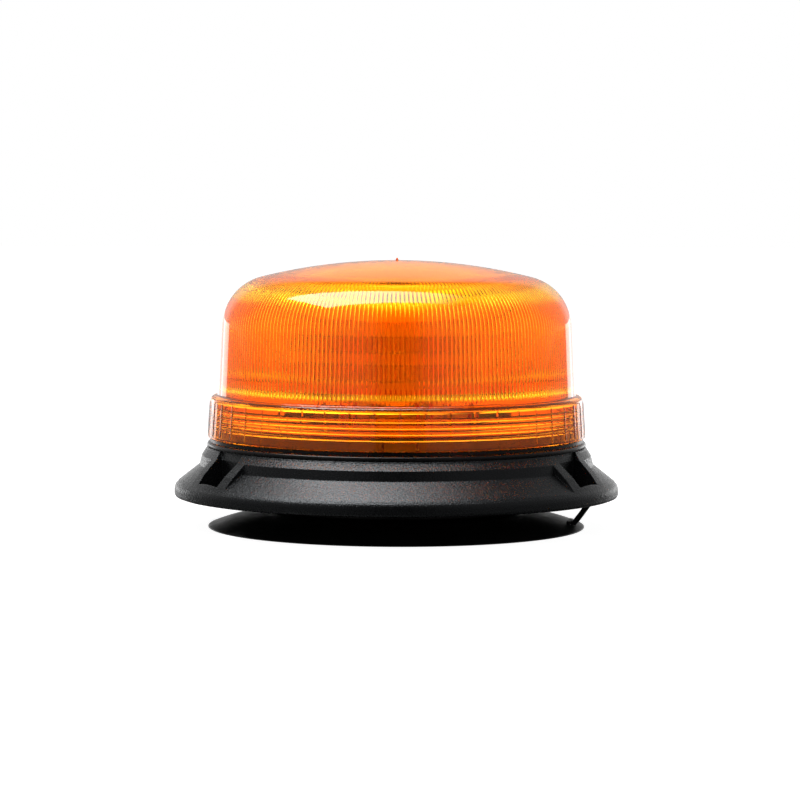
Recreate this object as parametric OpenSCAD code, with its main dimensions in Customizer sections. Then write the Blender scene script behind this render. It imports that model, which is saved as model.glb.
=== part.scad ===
// Low amber warning beacon on a three-ear base, with a suction and magnet mount.
// Origin: centre of the suction cup's lip plane. +Z up, front is -Y. Millimetres.

/* [Base] */
// Outer radius of the base at its rim
base_r = 82.5; // [80:0.5:85]
// Height of the base's lower edge above the cup's lip
base_z = 11.6; // [11:0.2:13]
// Wall thickness of the base shell
base_wall = 2.5; // [2:0.25:3]
// Pitch circle diameter of the three mounting bolts
bolt_pcd = 150; // [150:0.5:151]
// Diameter of the mounting bolt holes
bolt_d = 6.5; // [5.5:0.5:7]
// Width of each bolt ear
ear_w = 25; // [24:0.5:27]
// Width of a bolt pocket at its floor
pocket_w = 13; // [12:0.5:14]

/* [Lens] */
// Outer radius of the lens skirt at its lower edge
skirt_r = 70.2; // [69.8:0.1:70.4]
// Outer radius of the drum where it leaves the skirt
drum_r = 66.1; // [65.8:0.1:66.6]
// Height of the crown of the lens
crown_z = 99; // [97:0.5:101]
// Wall thickness of the lens
lens_wall = 2.8; // [2.4:0.1:3]
// Number of grip ribs round the skirt
rib_count = 48; // [24:12:60]

/* [Bayonet] */
// Number of bayonet hooks
hook_count = 4; // [3:1:6]
// Arc that each hook covers, in degrees
hook_arc = 14; // [12:1:16]
// Arc that each lens lug covers, in degrees
lug_arc = 10; // [8:1:10]

/* [LED core] */
// Distance from the axis to each flat of the heat sink
core_flat = 26; // [25:0.5:26]
// Number of LED boards round the core
board_count = 6; // [6:1:6]
// Bearing of the first LED board, in degrees
core_turn = 290; // [270:5:330]
// Heights of the two rows of LEDs
led_rows = [58.5, 69];

/* [Vacuum mount] */
// Radius of the suction cup's lip
cup_r = 70; // [69:0.5:71]
// Radius of the magnet housing
housing_r = 47.5; // [47:0.25:48]
// Height of the magnet pad's face above the lip
pad_z = 2; // [1.5:0.25:2]
// Outer radius of the magnet's steel pot
pot_r = 38; // [37:0.5:38]
// Bearing of the release strap, in degrees
strap_turn = -10; // [-14:1:-6]

/* [Hidden] */
$fn = 96;
eps = 0.01;
fit = 0.05;
hex = 6;

// Base: the shoulder where the sloping panels start, the step above them and the top land
shoulder = [base_r - 1.5, base_z + 5.6];
panel_top = [73.2, base_z + 11.7];
step_top = [72.3, base_z + 15.3];
land = [70.3, base_z + 18.4];
land_inner_r = 64.2;
deck_z = land[1] - 1;
deck_t = 2.5;
deck_bore_r = 10;
ear_turns = [90, 210, 330];
ear_reach = 84;
ear_bulge = 0.4;
pocket_inner_r = 69.6;
pocket_outer_r = 79.5;
pocket_floor_z = base_z + 3;
pocket_draft = 2.3;
pocket_wall = 2.2;
ring_wall_r = 47;
rib_turns = [28, 60, 92];
rib_t = 2;

// Head tray and its collar
tray_floor_z = deck_z + 2.5;
tray_flange_r = 69.2;
tray_flange_z = land[1] + 1.2;
collar_r = 65;
collar_t = 2.4;
collar_z = 38;
tray_bore_r = 8;
plate_inner_r = 43;
plate_t = 1.4;
deck_seal_r = 61;
head_screw_r = 56;
head_screw_shank = 1.5;
head_screw_turns = [45, 135, 225, 315];

// Lens
skirt_z = land[1] + 3.6;
skirt_top_r = 69.2;
skirt_top_z = 48.9;
drum_top_r = drum_r - 1.1;
shoulder_r = 19.4;
crown_r = 208.6;
crown_centre_z = crown_z - crown_r;
shoulder_x = drum_top_r - shoulder_r;
shoulder_z = crown_centre_z + sqrt(pow(crown_r - shoulder_r, 2) - pow(shoulder_x, 2));
blend_turn = atan2(shoulder_z - crown_centre_z, shoulder_x);
nub_r = 0.6;
nub_h = 1.4;
rib_w = 0.8;
rib_h = 0.35;
lug_z = skirt_z + 0.6;
lug_h = 2.2;
hook_gap = 0.3;
hook_h = 1.2;
lug_inner_r = collar_r + 0.5;
lens_fit = 0.5;

// Driver board and LED core
pcb_r = 51;
pcb_z = tray_floor_z + 3.5;
pcb_t = 1.6;
pcb_screw_r = 46;
pcb_screw_shank = 1.2;
pcb_top_z = pcb_z + pcb_t;
leg_r = 4;
leg_turn_r = 19;
core_z = 47.5;
core_top_z = 78;
core_bore_r = 16;
cap_screw_r = 20.5;
cap_screw_shank = 1.25;
cap_t = 2.4;
leg_screw_depth = 1.6;
leg_screw_shank = 1.3;
led_board_w = 26;
led_board_h = 27;
led_board_z = 50;
led_board_t = 1.2;
led_size = 3.5;
led_t = 1.4;
led_pitch = 7.5;
led_face = core_flat + led_board_t;
board_screw_z = (led_rows[0] + led_rows[1]) / 2;
board_screw_x = 10;

// Vacuum mount
flange_t = 2.6;
clamp_t = 1.4;
clamp_z = pad_z + 0.2;
flange_z = clamp_z + clamp_t;
housing_z = flange_z + flange_t;
flange_inner_r = 40;
cup_arc_centre = [39, -80.7];
cup_arc_r = 86.9;
pot_z = pad_z + 1;
pot_h = 8;
pot_t = 2.5;
pot_top_z = pot_z + pot_h;
housing_top_z = pot_top_z + 3;
magnet_bore_r = 12;
bolt_r = 4;
housing_screw_r = 42.5;
housing_screw_turns = [45, 135, 225, 315];
housing_screw_shank = 2;
insert_r = 2.8;
clamp_screw_r = 43;
clamp_screw_shank = 1.2;
clamp_screw_head = 1.6;
strap_w = 8;
strap_t = 2;
strap_low = [66.7, 2.2];
strap_high = [75.9, 15];
strap_pad_z = 14.6;
strap_screw_at = 67;
strap_screw_shank = 1.25;
strap_foot_z = 2.05;

// Cable inlet at the back
inlet_turn = 44;
inlet_z = base_z + 7.9;
inlet_bore_r = 3;
inlet_neck_r = 4.6;

// Breather vent, its bearing and radius
vent_turn = 200;
vent_at = 40;
vent_r = 2.9;

// Points on an arc of radius r round c, from angle a to angle b in n steps
function arc(c, r, a, b, n) = [for (i = [0:n]) let (turn = a + (b - a) * i / n)
  c + r * [cos(turn), sin(turn)]];

// Copies its children at radius r on each bearing in turns
module around(r, turns) {
  for (t = turns) rotate([0, 0, t]) translate([r, 0, 0]) children();
}

// Evenly spaced bearings
function spaced(n, first = 0) = [for (i = [0:n - 1]) first + i * 360 / n];

// Ring between two radii, standing on z
module ring(outer, inner, z, h) {
  translate([0, 0, z]) difference() {
    cylinder(r = outer, h = h);
    translate([0, 0, -eps]) cylinder(r = inner, h = h + 2 * eps);
  }
}

// Piece of a ring that covers an arc centred on bearing 0
module ring_arc(outer, inner, z, h, width) {
  rotate([0, 0, -width / 2]) rotate_extrude(angle = width) translate([inner, z]) square([outer - inner, h]);
}

// Pan-head screw with its head's seat at z, pointing up
module screw_up(shank, head, head_h, z, length) {
  translate([0, 0, z - head_h]) difference() {
    cylinder(r = head, h = head_h);
    translate([0, 0, -eps]) cylinder(r = head * 0.45, h = head_h * 0.6, $fn = hex);
  }
  translate([0, 0, z - eps]) cylinder(r = shank, h = length + eps);
}

// ---- Lens ----

// Outer outline of the lens shrunk by t, from the lower edge of the drum to the axis
function dome_outline(t) = concat(
  [[drum_r - t, skirt_top_z + 0.3]],
  arc([shoulder_x, shoulder_z], shoulder_r - t, 0, blend_turn, 9),
  [for (i = [1:8]) let (a = blend_turn + (90 - blend_turn) * i / 8)
    [(crown_r - t) * cos(a), crown_centre_z + (crown_r - t) * sin(a)]]
);

module lens_shell() {
  outer = dome_outline(0);
  inner = dome_outline(lens_wall);
  outer_skirt = [[skirt_r, skirt_z], [skirt_top_r, skirt_top_z - 0.7],
    [skirt_top_r - 0.7, skirt_top_z]];
  inner_skirt = [[drum_r - lens_wall, skirt_top_z - 1.4], [skirt_r - lens_wall - 0.2, skirt_top_z - 3.2],
    [skirt_r - lens_wall, skirt_z]];
  rotate_extrude($fn = 144)
    polygon(concat(outer_skirt, outer, [for (i = [len(inner) - 1:-1:0]) inner[i]], inner_skirt));
}

module lens_dome() {
  lean = atan((skirt_r - skirt_top_r) / (skirt_top_z - skirt_z));
  color("darkorange") {
    union() {
      lens_shell();
      translate([0, 0, crown_z - 0.5]) cylinder(r = nub_r, h = nub_h + 0.5, $fn = 24);
      around(skirt_r, spaced(rib_count)) translate([0, 0, skirt_z + 1]) rotate([0, -lean, 0])
        translate([-0.6, -rib_w / 2, 0]) cube([0.6 + rib_h, rib_w, skirt_top_z - skirt_z - 3]);
      around(0, spaced(hook_count))
        ring_arc(skirt_r - lens_wall + 0.3, lug_inner_r, lug_z, lug_h, lug_arc);
    }
  }
}

module lens_seal() {
  low = tray_flange_z;
  top = skirt_z - 0.2;
  color("black") rotate_extrude() polygon(concat(
    [[collar_r + 0.8, low], [tray_flange_r + fit, low], [tray_flange_r + fit, land[1] + 0.4],
      [skirt_r - 0.3, land[1] + 0.4]],
    arc([skirt_r - 1.4, (low + top) / 2], 1.6, -40, 40, 6),
    [[skirt_r - 0.5, top], [collar_r + 0.8, top]]
  ));
}

// ---- Head ----

module tray_profile() {
  inner_r = collar_r - collar_t;
  polygon([[tray_bore_r, deck_z], [land_inner_r - 0.2, deck_z], [land_inner_r - 0.2, land[1]],
    [tray_flange_r, land[1]], [tray_flange_r, tray_flange_z], [collar_r, tray_flange_z],
    [collar_r, collar_z], [inner_r, collar_z], [inner_r, tray_floor_z],
    [tray_bore_r, tray_floor_z]]);
}

module head_tray() {
  hook_z = lug_z + lug_h + hook_gap;
  hook_outer = skirt_r - lens_wall - lens_fit;
  stop_z = tray_flange_z + 2.4;
  color("dimgray") difference() {
    union() {
      rotate_extrude() tray_profile();
      around(0, spaced(hook_count)) {
        ring_arc(hook_outer, collar_r - 0.5, hook_z, hook_h, hook_arc);
        rotate([0, 0, -hook_arc / 2 - 0.8])
          ring_arc(hook_outer, collar_r - 0.5, stop_z, hook_z + hook_h - stop_z, 1.6);
      }
      around(head_screw_r, head_screw_turns) translate([0, 0, tray_floor_z - eps])
        cylinder(r = 3.6, h = 6);
      around(pcb_screw_r, spaced(4)) translate([0, 0, tray_floor_z - eps])
        cylinder(r = 3, h = pcb_z - tray_floor_z + eps);
    }
    around(head_screw_r, head_screw_turns) translate([0, 0, deck_z - eps])
      cylinder(r = head_screw_shank + fit, h = 7);
    around(pcb_screw_r, spaced(4)) translate([0, 0, tray_floor_z + 0.5])
      cylinder(r = pcb_screw_shank + fit, h = 4);
    around(leg_turn_r, spaced(4, 45)) translate([0, 0, deck_z - eps]) {
      cylinder(r = 1.8, h = 4);
      cylinder(r = 3.4, h = leg_screw_depth + 2 * eps);
    }
    rotate([0, 0, vent_turn]) translate([vent_at, 0, deck_z - eps]) cylinder(r = vent_r + 0.1, h = 4);
  }
}

module deck_seal() {
  color("black") ring(deck_seal_r - fit, deck_seal_r - 1.6 + fit, deck_z - 1, 1);
}

module reflector_plate() {
  top = collar_z + plate_t;
  color("whitesmoke") rotate_extrude() polygon([[plate_inner_r, collar_z], [collar_r - 0.3, collar_z],
    [collar_r - 0.3, top - 0.5], [collar_r - 0.8, top], [plate_inner_r, top]]);
}

// Six-sided prism whose flats face the LED boards, with distance flat to each flat
module core_prism(flat, z, h) {
  rotate([0, 0, core_turn + 180 / board_count]) translate([0, 0, z])
    cylinder(r = flat / cos(180 / board_count), h = h, $fn = hex);
}

module heat_sink() {
  color("silver") difference() {
    union() {
      core_prism(core_flat, core_z, core_top_z - core_z);
      around(leg_turn_r, spaced(4, 45)) translate([0, 0, tray_floor_z])
        cylinder(r = leg_r, h = core_z - tray_floor_z + 1);
    }
    translate([0, 0, core_z + 3]) cylinder(r = core_bore_r, h = core_top_z);
    translate([0, 0, core_z - 1]) cylinder(r = 6, h = 10);
    around(leg_turn_r, spaced(4, 45)) translate([0, 0, tray_floor_z - eps])
      cylinder(r = leg_screw_shank + fit, h = 10);
    around(cap_screw_r, spaced(3, core_turn)) translate([0, 0, core_top_z - 9])
      cylinder(r = cap_screw_shank + fit, h = 10);
  }
}

// Places its children on each LED board: x across, y up the board, z outwards from the face at flat
module on_boards(flat) {
  for (t = spaced(board_count, core_turn)) rotate([0, 0, t]) translate([flat, 0, 0])
    rotate([90, 0, 90]) children();
}

module led_boards() {
  color("ivory") on_boards(core_flat) difference() {
    translate([-led_board_w / 2, led_board_z, 0]) cube([led_board_w, led_board_h, led_board_t]);
    for (x = [-1, 1]) translate([x * board_screw_x, board_screw_z, -eps]) cylinder(r = 1.1, h = 2);
  }
}

module led_packages() {
  color("gold") on_boards(led_face)
    for (y = led_rows, x = [-1:1]) translate([x * led_pitch - led_size / 2, y - led_size / 2, 0])
      cube([led_size, led_size, led_t]);
}

// Clear bar with a rounded front over one row of LEDs, with a pocket for each LED
module optic_bar() {
  depth = 5.5;
  half = 3.2;
  difference() {
    intersection() {
      translate([-12, -half, 0]) cube([24, 2 * half, depth]);
      translate([-12, 0, -1]) rotate([0, 90, 0]) cylinder(r = 6.5, h = 24);
    }
    for (x = [-1:1]) translate([x * led_pitch - 2.1, -2.1, -eps]) cube([4.2, 4.2, led_t + 0.4]);
  }
}

module led_optics() {
  color("azure") on_boards(led_face) for (y = led_rows) translate([0, y, 0]) optic_bar();
}

module board_screws() {
  color("silver") on_boards(led_face) for (x = [-1, 1])
    translate([x * board_screw_x, board_screw_z, 0]) {
      cylinder(r = 1.9, h = 1.2);
      translate([0, 0, -led_board_t]) cylinder(r = 1, h = led_board_t + eps);
    }
}

module core_cap() {
  color("whitesmoke") difference() {
    union() {
      translate([0, 0, core_top_z]) cylinder(r1 = 30, r2 = 27, h = cap_t);
      translate([0, 0, core_top_z + cap_t - 0.1]) cylinder(r1 = 12, r2 = 10, h = 1.6);
    }
    translate([0, 0, core_top_z - eps]) cylinder(r = 10, h = cap_t);
    around(cap_screw_r, spaced(3, core_turn)) translate([0, 0, core_top_z - eps]) cylinder(r = 1.6, h = 4);
  }
}

module core_cap_screw() {
  color("silver") around(cap_screw_r, spaced(3, core_turn)) translate([0, 0, core_top_z + cap_t]) {
    cylinder(r = 2.8, h = 1.6);
    translate([0, 0, -8.4]) cylinder(r = cap_screw_shank, h = 8.4 + eps);
  }
}

module heat_sink_screws() {
  color("silver") around(leg_turn_r, spaced(4, 45))
    screw_up(leg_screw_shank, 3.1, 1.4, deck_z + leg_screw_depth, 8);
}

module driver_board() {
  color("seagreen") difference() {
    translate([0, 0, pcb_z]) cylinder(r = pcb_r, h = pcb_t);
    translate([0, 0, pcb_z - eps]) cylinder(r = 9, h = 3);
    around(leg_turn_r, spaced(4, 45)) translate([0, 0, pcb_z - eps]) cylinder(r = leg_r + 0.4, h = 3);
    around(pcb_screw_r, spaced(4)) translate([0, 0, pcb_z - eps]) cylinder(r = 1.6, h = 3);
  }
}

module driver_capacitors() {
  color("slategray") around(36, [62, 78, 100]) translate([0, 0, pcb_top_z]) cylinder(r = 3.6, h = 6);
}

module driver_inductors() {
  color("saddlebrown") around(36, [190, 222]) translate([0, 0, pcb_top_z]) {
    translate([-5, -5, 0]) cube([10, 10, 0.8]);
    translate([0, 0, 0.8 - eps]) cylinder(r = 4.6, h = 4);
  }
}

module driver_chips() {
  color("darkslategray") {
    around(36, [130, 150, 292, 312]) translate([-3.2, -2.6, pcb_top_z]) cube([6.4, 5.2, 1.6]);
    around(27, [150, 255]) translate([-1.6, -0.9, pcb_top_z]) cube([3.2, 1.8, 1]);
    around(42, [20, 28, 340, 332, 242, 252]) translate([-1, -1.6, pcb_top_z]) cube([2, 3.2, 0.9]);
  }
}

module terminal_block() {
  color("green") difference() {
    translate([30, -6, pcb_top_z]) cube([9, 12, 6]);
    for (y = [-3, 3]) {
      translate([34.5, y, pcb_top_z + 2]) cylinder(r = 1.8, h = 5);
      translate([29, y - 1.4, pcb_top_z + 1]) cube([3, 2.8, 2.6]);
    }
  }
}

module driver_screws() {
  color("silver") around(pcb_screw_r, spaced(4)) {
    translate([0, 0, pcb_top_z]) cylinder(r = 2.6, h = 1.3);
    translate([0, 0, pcb_top_z - 4]) cylinder(r = pcb_screw_shank, h = 4 + eps);
  }
}

module led_leads() {
  wire_r = 0.8;
  color("crimson") on_boards(led_face + wire_r) for (x = [-2.5, 2.5])
    translate([x, pcb_top_z, 0]) rotate([-90, 0, 0])
      cylinder(r = wire_r, h = led_board_z + 2 - pcb_top_z, $fn = 24);
}

module breather_vent() {
  color("darkgray") rotate([0, 0, vent_turn]) translate([vent_at, 0, 0]) {
    translate([0, 0, deck_z]) cylinder(r = vent_r, h = tray_floor_z - deck_z);
    translate([0, 0, tray_floor_z]) cylinder(r = vent_r + 1.6, h = 1.2);
  }
}

// ---- Base ----

// Rim outline from the lower edge to the shoulder
function rim_outline() = concat(
  [[base_r - 1.2, base_z], [base_r - 0.4, base_z + 0.3], [base_r, base_z + 1]],
  arc([base_r - 3.2, base_z + 2.7], 3.2, 0, 44, 4),
  [shoulder]
);

// Wall of revolution with the panels recessed all round
module recessed_wall() {
  inner_foot = [base_r - 1.2 - base_wall, base_z];
  inner_shoulder = [shoulder[0] - 2.4, shoulder[1] - 1.3];
  inner_panel = [panel_top[0] - 2.2, panel_top[1] - 1.4];
  rotate_extrude($fn = 144) polygon(concat(rim_outline(), [panel_top, step_top, land],
    [[land_inner_r, land[1]], [land_inner_r, deck_z], [deck_bore_r, deck_z], [deck_bore_r, deck_z - deck_t],
      [step_top[0] - 2.6, deck_z - deck_t], inner_panel, inner_shoulder, inner_foot]));
}

// The slab between the recessed panels and the outer surface of the ears
module ear_surface() {
  middle = (shoulder + step_top) / 2;
  rotate_extrude($fn = 144) polygon([shoulder, middle + ear_bulge * [0.75, 0.66], step_top,
    [panel_top[0] - 1, panel_top[1]], [shoulder[0] - 1, shoulder[1] - 1]]);
}

module ear_block(width, from_r, z, h) {
  around(0, ear_turns) translate([from_r, -width / 2, z]) cube([ear_reach - from_r, width, h]);
}

// Drafted bolt pocket: wider at the top than at the floor
module pocket_space() {
  half = pocket_w / 2;
  top = land[1] + 1;
  around(0, ear_turns) difference() {
    translate([60, 0, 0]) rotate([90, 0, 90]) linear_extrude(pocket_outer_r - 60)
      polygon([[-half, pocket_floor_z], [half, pocket_floor_z], [half + pocket_draft, top],
        [-half - pocket_draft, top]]);
    cylinder(r = pocket_inner_r, h = 40);
  }
}

// Closed box round each pocket, under the deck and inside the rim
module pocket_box() {
  intersection() {
    ear_block(pocket_w + 2 * (pocket_draft + pocket_wall) - 2, pocket_inner_r - pocket_wall, base_z, 16.5);
    rotate_extrude($fn = 144) polygon(concat(rim_outline(), [step_top, [50, step_top[1]], [50, base_z]]));
  }
}

module base_ribs() {
  for (e = ear_turns, t = rib_turns) rotate([0, 0, e + t])
    translate([ring_wall_r - 1, -rib_t / 2, base_z + 4])
      cube([panel_top[0] - 2 - ring_wall_r, rib_t, deck_z - deck_t - base_z - 4 + eps]);
}

// Socket for the cable grommet, its axis along a bearing
module at_inlet(r) {
  rotate([0, 0, inlet_turn]) translate([r, 0, inlet_z]) rotate([0, 90, 0]) children();
}

module mount_base() {
  color([0.09, 0.09, 0.1]) difference() {
    union() {
      recessed_wall();
      intersection() {
        ear_surface();
        ear_block(ear_w, 66, base_z, 20);
      }
      pocket_box();
      ring(ring_wall_r, ring_wall_r - 2.5, base_z, deck_z - deck_t - base_z + eps);
      base_ribs();
      around(housing_screw_r, housing_screw_turns) translate([0, 0, housing_top_z])
        cylinder(r = 4.2, h = deck_z - deck_t - housing_top_z + eps);
      at_inlet(68.5) cylinder(r = 7.2, h = 8.8);
      rotate([0, 0, strap_turn]) translate([strap_screw_at, 0, strap_pad_z + strap_t])
        cylinder(r = 3.4, h = deck_z - deck_t - strap_pad_z - strap_t + eps);
    }
    pocket_space();
    around(bolt_pcd / 2, ear_turns) translate([0, 0, base_z - 1]) cylinder(r = bolt_d / 2, h = 6);
    around(head_screw_r, head_screw_turns) translate([0, 0, deck_z - deck_t - 1])
      cylinder(r = 1.8, h = 5);
    around(housing_screw_r, housing_screw_turns) translate([0, 0, housing_top_z - eps])
      cylinder(r = insert_r, h = 8);
    rotate([0, 0, strap_turn]) translate([strap_screw_at, 0, strap_pad_z])
      cylinder(r = strap_screw_shank + fit, h = 9);
    rotate([0, 0, vent_turn]) translate([vent_at, 0, deck_z - deck_t - 1]) cylinder(r = 4, h = 5);
    ring(deck_seal_r, deck_seal_r - 1.6, deck_z - 1, 2);
    at_inlet(66) {
      cylinder(r = inlet_neck_r, h = 16);
      cylinder(r = 6.2, h = 5.5);
      translate([0, 0, 8.5]) cylinder(r = 6.2, h = 9);
    }
  }
}

module head_screws() {
  color("silver") around(head_screw_r, head_screw_turns)
    screw_up(head_screw_shank, 3.2, 2, deck_z - deck_t, 8);
}

module boss_inserts() {
  color("goldenrod") around(housing_screw_r, housing_screw_turns)
    ring(insert_r - fit, housing_screw_shank + fit, housing_top_z, 7);
}

module cable_grommet() {
  neck_r = inlet_neck_r - fit;
  color([0.13, 0.13, 0.14]) at_inlet(69) rotate_extrude() polygon([[inlet_bore_r, 0], [6, 0],
    [6, 2.5], [neck_r, 2.5], [neck_r, 5.5], [6, 5.5], [6, 8], [5.2, 8.6], [4.6, 15.6], [4.2, 16],
    [inlet_bore_r, 16]]);
}

// ---- Vacuum mount ----

module magnet_housing() {
  color([0.1, 0.1, 0.11]) difference() {
    rotate_extrude() polygon(concat(
      [[pot_r + 0.3, housing_z]],
      arc([housing_r - 1.5, housing_z + 1.5], 1.5, -90, 0, 5),
      [[housing_r, base_z], [ring_wall_r - 2.8, base_z], [ring_wall_r - 2.8, housing_top_z],
        [bolt_r + 0.3, housing_top_z], [bolt_r + 0.3, pot_top_z], [pot_r + 0.3, pot_top_z]]
    ));
    around(housing_screw_r, housing_screw_turns) translate([0, 0, housing_z - eps]) {
      cylinder(r = housing_screw_shank + 0.1, h = 12);
      cylinder(r = 3.6, h = 3);
    }
    around(clamp_screw_r, spaced(6)) translate([0, 0, housing_z - eps])
      cylinder(r = clamp_screw_shank + fit, h = 5);
  }
}

module housing_screws() {
  color("silver") around(housing_screw_r, housing_screw_turns)
    screw_up(housing_screw_shank, 3.4, 2.4, housing_z + 3 - eps, housing_top_z - housing_z - 3 + 7);
}

// Outline of the cup's upper surface from the housing to the lip
function cup_top() = let (c = cup_arc_centre, r = cup_arc_r)
  arc(c, r, acos((housing_r - c[0]) / r), acos((cup_r - c[0]) / r), 8);

module suction_cup() {
  color([0.07, 0.07, 0.08]) {
    difference() {
      union() {
        rotate_extrude($fn = 144) polygon(concat(
          [[flange_inner_r, flange_z], [flange_inner_r, housing_z], [housing_r - 1.2, housing_z]],
          cup_top(),
          [[cup_r, 0], [cup_r - 2, 0], [66, 0.7], [60, 1.9], [54, 2.8], [48, flange_z]]
        ));
        rotate([0, 0, strap_turn]) translate([strap_low[0] - 2.4, -strap_w / 2 - 1.5, 1])
          cube([1.4, strap_w + 3, 2.6]);
      }
      around(clamp_screw_r, spaced(6)) translate([0, 0, flange_z - 1])
        cylinder(r = clamp_screw_head, h = 5);
    }
  }
}

module clamp_ring() {
  color("gray") difference() {
    ring(46.5, flange_inner_r, clamp_z, clamp_t);
    around(clamp_screw_r, spaced(6)) translate([0, 0, clamp_z - 1])
      cylinder(r = clamp_screw_head + fit, h = 4);
  }
}

module clamp_screws() {
  color("silver") around(clamp_screw_r, spaced(6)) translate([0, 0, clamp_z + eps]) {
    cylinder(r = clamp_screw_head, h = clamp_t);
    cylinder(r = clamp_screw_shank, h = clamp_t + flange_t + 4);
  }
}

module pot_shell() {
  color("lightsteelblue") rotate_extrude() polygon([[bolt_r + 0.3, pot_top_z], [pot_r - 1, pot_top_z],
    [pot_r, pot_top_z - 1], [pot_r, pot_z], [pot_r - pot_t, pot_z], [pot_r - pot_t, pot_top_z - pot_t],
    [bolt_r + 0.3, pot_top_z - pot_t]]);
}

module ring_magnet() {
  color("dimgray") ring(pot_r - pot_t - 0.6, magnet_bore_r, pot_z + 0.4, pot_h - pot_t - 0.4);
}

module magnet_pad() {
  color("slategray") ring(pot_r, magnet_bore_r - 2, pad_z, pot_z - pad_z);
}

module centre_bolt() {
  seat = pot_top_z - pot_t;
  color("silver") {
    translate([0, 0, seat - 5.3]) cylinder(r = 7.5, h = 5.3, $fn = hex);
    translate([0, 0, seat - eps]) cylinder(r = bolt_r, h = 15.5);
  }
}

module bolt_washer() {
  color("gainsboro") ring(8.4, bolt_r + 0.3, housing_top_z, 1.4);
}

module lock_nut() {
  seat = housing_top_z + 1.4;
  color("silver") difference() {
    union() {
      translate([0, 0, seat]) cylinder(r = 7.5, h = 5, $fn = hex);
      translate([0, 0, seat + 5 - eps]) cylinder(r = 6, h = 1.6);
    }
    translate([0, 0, seat - 1]) cylinder(r = bolt_r + fit, h = 9);
  }
}

module release_strap() {
  along = (strap_high - strap_low) / norm(strap_high - strap_low);
  side = strap_t / 2 * [along[1], -along[0]];
  color([0.12, 0.12, 0.13]) rotate([0, 0, strap_turn]) difference() {
    union() {
      translate([0, strap_w / 2, 0]) rotate([90, 0, 0]) linear_extrude(strap_w) {
        polygon([strap_low + side, strap_high + side, strap_high - side, strap_low - side]);
        translate([strap_low[0] - 0.95, strap_foot_z]) square([1.8, 1.5]);
        translate([strap_screw_at - 3.5, strap_pad_z]) square([13.5, strap_t]);
      }
    }
    translate([strap_screw_at, 0, strap_pad_z - 1]) cylinder(r = 1.4, h = 4);
  }
}

module strap_screw() {
  color("silver") rotate([0, 0, strap_turn]) translate([strap_screw_at, 0, 0])
    screw_up(strap_screw_shank, 2.5, 1.7, strap_pad_z, strap_t + 6);
}

lens_dome();
lens_seal();
head_tray();
deck_seal();
reflector_plate();
heat_sink();
led_boards();
led_packages();
led_optics();
board_screws();
core_cap();
core_cap_screw();
heat_sink_screws();
driver_board();
driver_capacitors();
driver_inductors();
driver_chips();
terminal_block();
driver_screws();
led_leads();
breather_vent();
mount_base();
head_screws();
boss_inserts();
cable_grommet();
magnet_housing();
housing_screws();
suction_cup();
clamp_ring();
clamp_screws();
pot_shell();
ring_magnet();
magnet_pad();
centre_bolt();
bolt_washer();
lock_nut();
release_strap();
strap_screw();
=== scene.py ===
"""Looks for the low amber warning beacon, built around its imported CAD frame."""
import math

import bmesh
import bpy
from mathutils import Matrix, Vector


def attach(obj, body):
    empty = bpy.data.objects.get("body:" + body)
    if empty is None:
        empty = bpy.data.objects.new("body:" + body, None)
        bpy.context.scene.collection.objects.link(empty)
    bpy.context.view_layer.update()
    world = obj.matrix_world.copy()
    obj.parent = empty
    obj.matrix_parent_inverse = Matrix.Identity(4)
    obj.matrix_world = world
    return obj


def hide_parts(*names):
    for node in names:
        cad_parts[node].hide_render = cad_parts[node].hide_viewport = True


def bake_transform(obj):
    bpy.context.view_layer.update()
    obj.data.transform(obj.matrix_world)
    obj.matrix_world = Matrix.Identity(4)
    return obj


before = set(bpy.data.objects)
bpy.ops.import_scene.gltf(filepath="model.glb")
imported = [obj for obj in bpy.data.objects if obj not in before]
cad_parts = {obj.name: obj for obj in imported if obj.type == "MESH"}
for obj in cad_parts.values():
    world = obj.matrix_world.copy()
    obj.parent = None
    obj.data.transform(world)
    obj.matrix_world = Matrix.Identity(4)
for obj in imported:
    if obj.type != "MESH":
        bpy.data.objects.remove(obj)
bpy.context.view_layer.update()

MM = 0.001

# ---- Dimensions, in millimetres ----

# Outline of the lens
SKIRT_R, SKIRT_TOP_R = 70.2, 69.2
SKIRT_Z, SKIRT_TOP_Z = 33.6, 48.9
SKIRT_CHAMFER, SKIRT_CORNER_R = 0.25, 1.5
DRUM_R, DRUM_TOP_R = 66.1, 65.0
DRUM_FOOT_R = 0.65
LENS_WALL = 2.8
SHOULDER_R = 19.4
CROWN_R, CROWN_Z = 208.6, 99.0
CROWN_CENTRE_Z = CROWN_Z - CROWN_R
SHOULDER_X = DRUM_TOP_R - SHOULDER_R
SHOULDER_Z = CROWN_CENTRE_Z + math.sqrt((CROWN_R - SHOULDER_R) ** 2 - SHOULDER_X**2)
BLEND_TURN = math.atan2(SHOULDER_Z - CROWN_CENTRE_Z, SHOULDER_X)
NUB_R, NUB_TOP = 0.4, 99.9
NUB_FOOT_TURN = math.radians(89.6)

# Upright grip ribs on the skirt
RIB_COUNT, RIB_W, RIB_H = 48, 1.1, 0.16
RIB_FOOT, RIB_HEAD, RIB_FADE = 34.6, 47.2, 0.3
RIB_ROWS = (38.0, 41.0, 44.0)

# Inside of the skirt: bayonet lugs, rings of ridges and a ledge
LUG_COUNT, LUG_ARC, LUG_R = 4, 10.0, 65.5
LUG_LOW, LUG_HIGH = 34.2, 36.4
RIDGES, RIDGE_FOOT, RIDGE_PITCH, RIDGE_DEPTH = 4, 36.9, 2.2, 0.6
LEDGE_FOOT, LEDGE_TOP = 46.6, 47.9
SKIRT_STEP = 0.6

# Section of a ridge, as (height above its foot, share of its depth)
RIDGE_SECTION = ((0, 0), (0.45, 0.9), (0.6, 1), (0.8, 1), (1.0, 0.85), (1.7, 0))

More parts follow.
